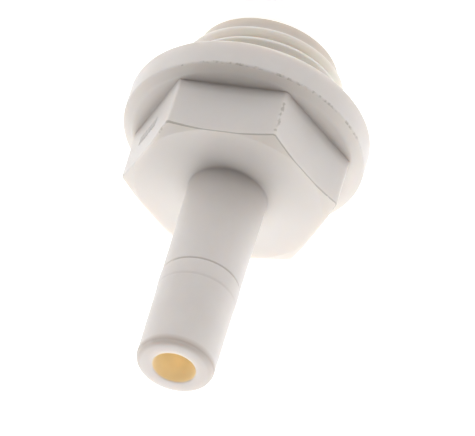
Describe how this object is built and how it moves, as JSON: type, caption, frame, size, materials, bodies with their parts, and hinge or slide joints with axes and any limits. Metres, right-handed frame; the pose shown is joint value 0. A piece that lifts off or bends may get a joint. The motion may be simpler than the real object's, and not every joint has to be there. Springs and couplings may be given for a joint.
{
  "type": "push-in stem adapter",
  "caption": "Straight plastic stem adapter: a plain round stem, a spanner hexagon, a round flange and a short male parallel pipe thread with a face seal, bored right through.",
  "frame": {"origin": "centre of the threaded end face, the lowest point of the part", "axes": "+Z along the fitting's axis from the threaded end to the stem tip; two flats of the hexagon face +Y and -Y, and two of its corners lie on +X and -X"},
  "size_m": [0.0244, 0.0244, 0.0397],
  "materials": {
    "white_acetal": "satin moulded, slightly translucent",
    "seal_rubber": "matte"
  },
  "bodies": {
    "root": {"stem_adapter_body": "white_acetal", "sealing_ring": "seal_rubber"}
  },
  "joints": []
}
